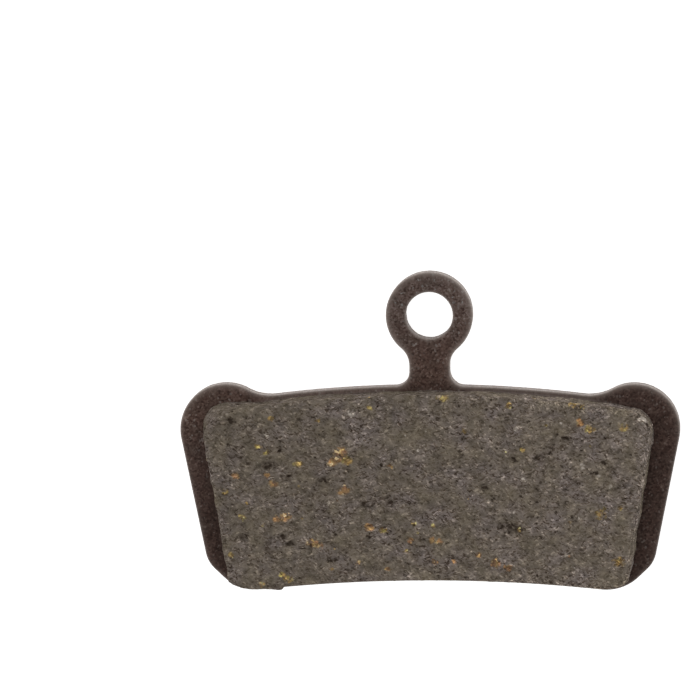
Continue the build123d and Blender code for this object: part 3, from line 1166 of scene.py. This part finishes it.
# Painted light: a shade lighter towards the right
across = add_node(tree, "ShaderNodeSeparateXYZ", {"Vector": place}).outputs["X"]
painted_light_across = add_node(
    tree, "ShaderNodeMapRange",
    {"Value": across, "From Min": -18 * MM, "From Max": 18 * MM, "To Min": 0.94, "To Max": 1.08},
)
level = add_node(
    tree, "ShaderNodeMath", {0: level.outputs[0], 1: painted_light_across.outputs[0]}, operation="MULTIPLY"
)
shown = add_node(
    tree, "ShaderNodeVectorMath", {0: hue.outputs["Color"], "Scale": level.outputs[0]}, operation="SCALE"
).outputs["Vector"]
stir = add_node(tree, "ShaderNodeTexNoise", {"Vector": place, "Scale": per_mm(STIR), "Detail": 2.0})
stirred = add_node(
    tree, "ShaderNodeVectorMath", {0: stir.outputs["Color"], 1: (0.4 * MM,) * 3, 2: place},
    operation="MULTIPLY_ADD",
).outputs[0]
print("ground of", len(tree.nodes), "nodes")

# %% [markdown]
# ## Finish of the lining: metal flakes
# The chips are turnings of brass and bronze, and each flake in a bunch has its own shade, from tarnished
# brown to bright gold. The palest shades are painted highlights, flakes that would catch the light. One
# gold colour would look painted on. So Voronoi cells of 0.26 mm stand for the flakes, each cell's random
# number picks its shade, and the bronze layer of the mesh picks the alloy: yellow for brass, redder for
# bronze.

# %% Compound: shades of brass and bronze
FLAKE = 0.26

flake = add_node(tree, "ShaderNodeTexVoronoi", {"Vector": stirred, "Scale": per_mm(FLAKE)})
flake_chance = add_node(tree, "ShaderNodeSeparateColor", {"Color": flake.outputs["Color"]})
# Its palest stops are painted highlights on the flakes
gold_and_highlight = add_node(
    tree, "ShaderNodeValToRGB", {"Fac": flake_chance.outputs["Green"]},
    stops={
        0.0: "#5a4d3e", 0.2: "#8a7058", 0.4: "#857756", 0.6: "#987c5a",
        0.8: "#ae8d64", 0.92: "#b6a470", 1.0: "#d8cdaa",
    },
)
redder = add_node(tree, "ShaderNodeAttribute", {}, attribute_name="bronze")
alloy = add_node(
    tree, "ShaderNodeValToRGB", {"Fac": redder.outputs["Fac"]},
    stops={0.0: (1.0, 1.05, 0.83), 1.0: "#fff2ec"},
)
gold_and_highlight = add_node(
    tree, "ShaderNodeMix", {FACTOR: 1.0, FIRST: gold_and_highlight.outputs["Color"], SECOND: alloy.outputs["Color"]},
    data_type="RGBA", blend_type="MULTIPLY",
)
print("flakes of", FLAKE, "mm")

# %% [markdown]
# ## Finish of the lining: pits, pale grains and chips in their places
# The layers of the mesh say how deep a point lies in a pit, a pale mineral grain or a metal chip. The
# flakes' random numbers break that up, so that a chip is a bunch of flakes and not a disc. Pits come
# first and chips last, because a chip can lie over the edge of a pit.

# %% Compound: the grains
# The pits' dark colour, as deep as the pit, is painted shade in the hollows
for layer, channel, low, high, colour in (
    ("pit_and_shade", "Blue", 0.12, 0.65, linear("#383029")),
    ("pale", "Blue", 0.15, 0.5, linear("#aaa197")),
    ("chip", "Red", 0.16, 0.55, gold_and_highlight.outputs[MIXED]),
):
    depth = add_node(tree, "ShaderNodeAttribute", {}, attribute_name=layer)
    chance = add_node(tree, "ShaderNodeMath", {0: flake_chance.outputs[channel], 1: 0.35}, operation="ADD")
    broken_up = add_node(
        tree, "ShaderNodeMath", {0: chance.outputs[0], 1: depth.outputs["Fac"]}, operation="MULTIPLY"
    )
    share = add_node(
        tree, "ShaderNodeMapRange", {"Value": broken_up.outputs[0], "From Min": low, "From Max": high}
    ).outputs[0]
    shown = add_node(
        tree, "ShaderNodeMix", {FACTOR: share, FIRST: shown, SECOND: colour}, data_type="RGBA"
    ).outputs[MIXED]
metal_share = share
print("grains bring the finish to", len(tree.nodes), "nodes")

# %% [markdown]
# ## Finish of the lining: short fibres
# Between the grains the compound is a felt of short fibres, some darker and some lighter, that lie in
# all directions in the plane of the face. They are Voronoi cells drawn out to strokes, in three layers
# at different angles. Each stroke's random number scales the colour below it. The real fibres are a few
# hundredths of a millimetre thick and are drawn 0.1 mm wide, so that they show.

# %% Compound: strokes of fibre
for angle, long, wide, most in ((15, 0.26, 0.11, 1.0), (-40, 0.22, 0.1, 1.0), (-8, 0.55, 0.22, 0.5)):
    laid = add_node(
        tree, "ShaderNodeMapping",
        {"Vector": stirred, "Rotation": (0, 0, radians(angle)), "Scale": (long * MM, wide * MM, wide * MM)},
        vector_type="TEXTURE",
    )
    stroke = add_node(tree, "ShaderNodeTexVoronoi", {"Vector": laid.outputs[0], "Scale": 1.0})
    stroke_chance = add_node(tree, "ShaderNodeSeparateColor", {"Color": stroke.outputs["Color"]})
    fleck = add_node(
        tree, "ShaderNodeValToRGB", {"Fac": stroke_chance.outputs["Red"]},
        stops={
            0.0: "#978b80", 0.08: "#c4bdb5", 0.2: "#efeeec", 0.6: 1.0, 0.88: 1.1, 0.96: 1.4, 1.0: 2.2,
        },
    )
    felted = add_node(
        tree, "ShaderNodeMapRange",
        {
            "Value": drift.outputs["Fac"], "From Min": 0.35, "From Max": 0.65,
            "To Min": 0.55 * most, "To Max": 0.95 * most,
        },
    )
    shown = add_node(
        tree, "ShaderNodeMix",
        {FACTOR: felted.outputs[0], FIRST: shown, SECOND: fleck.outputs["Color"]},
        data_type="RGBA", blend_type="MULTIPLY",
    ).outputs[MIXED]
print("three layers of strokes laid")

# %% [markdown]
# ## Finish of the lining: the crumbled edge and its gloss
# Along the crumbled edge fresh grains lie open, paler and darker than the pressed face, so small cells
# scale the colour there. They lighten it on the whole, and as they lie on the right, they also paint
# that side lighter, which is painted light. The compound is dead matt, with a roughness of 0.85 and no
# clear reflection.
# Only the brass and bronze chips are metal: they are smoother, and partly metallic, because resin still
# smears them. The open grains are drawn 0.13 mm wide, coarser than the real ones, so that they show.

# %% Compound: the shader
OPEN_GRAIN = 0.13

speck = add_node(tree, "ShaderNodeTexVoronoi", {"Vector": stirred, "Scale": per_mm(OPEN_GRAIN)})
speck_chance = add_node(tree, "ShaderNodeSeparateColor", {"Color": speck.outputs["Color"]})
open_grain = add_node(
    tree, "ShaderNodeValToRGB", {"Fac": speck_chance.outputs["Red"]},
    stops={0.0: 0.5, 0.25: 0.85, 0.6: 1.15, 0.85: 1.5, 1.0: 2.6},
)
crumb_and_light_layer = add_node(tree, "ShaderNodeAttribute", {}, attribute_name="crumb_and_light")
shown = add_node(
    tree, "ShaderNodeMix",
    {FACTOR: crumb_and_light_layer.outputs["Fac"], FIRST: shown, SECOND: open_grain.outputs["Color"]},
    data_type="RGBA", blend_type="MULTIPLY",
).outputs[MIXED]
gloss = add_node(tree, "ShaderNodeMapRange", {"Value": metal_share, "To Min": 0.85, "To Max": 0.45})
metal = add_node(tree, "ShaderNodeMapRange", {"Value": metal_share, "To Max": 0.6})
clumps = add_node(
    tree, "ShaderNodeBump", {"Height": clump.outputs["Fac"], "Strength": 0.5, "Distance": 0.06 * MM}
)
add_node(tree, "Principled BSDF", {
    "Base Color": shown,
    "Metallic": metal.outputs[0],
    "Roughness": gloss.outputs[0],
    "Specular IOR Level": 0.0,
    "Normal": clumps.outputs["Normal"],
})
lining.data.materials.append(compound)
print("finish", compound.name, len(tree.nodes), "nodes")

# %% [markdown]
# ## Studio: the floor
# The pad lies on a sheet of opal plastic that is lit from below, which gives the white ground of a
# catalogue picture without a shadow. A white diffuse floor would need far more light on it and would
# then burn the pad out. The sheet lies a fiftieth of a millimetre below the pad's back, so that the
# two never share a plane.

# %% Floor
FLOOR_HALF, FLOOR_DROP = 0.8, 0.02 * MM

corner_signs = ((-1, -1), (1, -1), (1, 1), (-1, 1))
floor_corners = [(x * FLOOR_HALF, y * FLOOR_HALF, -FLOOR_DROP) for x, y in corner_signs]
floor_mesh = bpy.data.meshes.new("floor")
floor_mesh.from_pydata(floor_corners, [], [(0, 1, 2, 3)])
floor = bpy.data.objects.new("floor", floor_mesh)
bpy.context.scene.collection.objects.link(floor)
opal = bpy.data.materials.new("opal_sheet")
opal.use_nodes = True
add_node(opal.node_tree, "Principled BSDF", {
    "Base Color": linear("#f2f2f2"),
    "Roughness": 0.8,
    "Emission Color": linear("#ffffff"),
    "Emission Strength": 0.75,
})
floor_mesh.materials.append(opal)
print("floor is", 2 * FLOOR_HALF, "m wide")

# %% [markdown]
# ## Studio: the light tent
# Round the pad stands a white tent that is lit from above: bright overhead, dim towards its sides, and
# bright again at its foot, where the lit sheet shines on it. The light from above shows the face
# evenly, the dim sides leave the lining's walls dark, and the foot's light catches the rolled edges.
# Area lights could stand for the tent, but a world whose brightness is a ramp over height has no edges
# that would show in the gloss. The light leans a little, so the upper left is brighter.

# %% Light tent
world = bpy.data.worlds.new("light_tent")
bpy.context.scene.world = world
world.use_nodes = True
tree = world.node_tree
direction = add_node(tree, "ShaderNodeTexCoord", {}).outputs["Generated"]
upward = add_node(tree, "ShaderNodeSeparateXYZ", {"Vector": direction}).outputs["Z"]
tent = add_node(
    tree, "ShaderNodeValToRGB", {"Fac": upward}, stops={0.0: 0.9, 0.3: 0.1, 0.65: 0.5, 1.0: 1.0}
)
lean = add_node(tree, "ShaderNodeVectorMath", {0: direction, 1: (-0.3, 0.3, 0)}, operation="DOT_PRODUCT")
strength = add_node(tree, "ShaderNodeMath", {0: lean.outputs["Value"], 1: 1.3}, operation="ADD")
add_node(tree, "Background", {"Color": tent.outputs["Color"], "Strength": strength.outputs[0]})
bpy.context.scene.view_settings.view_transform = "Standard"
print("tent lit by", len(tree.nodes), "nodes")

# %% [markdown]
# ## The pieces take the solids' places
# Each dressed piece rides on the pad's one body and stands in for its solid, which is hidden.

# %% Bind the pieces to the frame
for piece, solid, slot in (
    (plate, "backing_plate", "coated_steel"),
    (lining, "friction_lining", "friction_compound"),
):
    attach(piece, "root")
    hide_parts(solid)
    print(piece.name, "stands in for", solid)
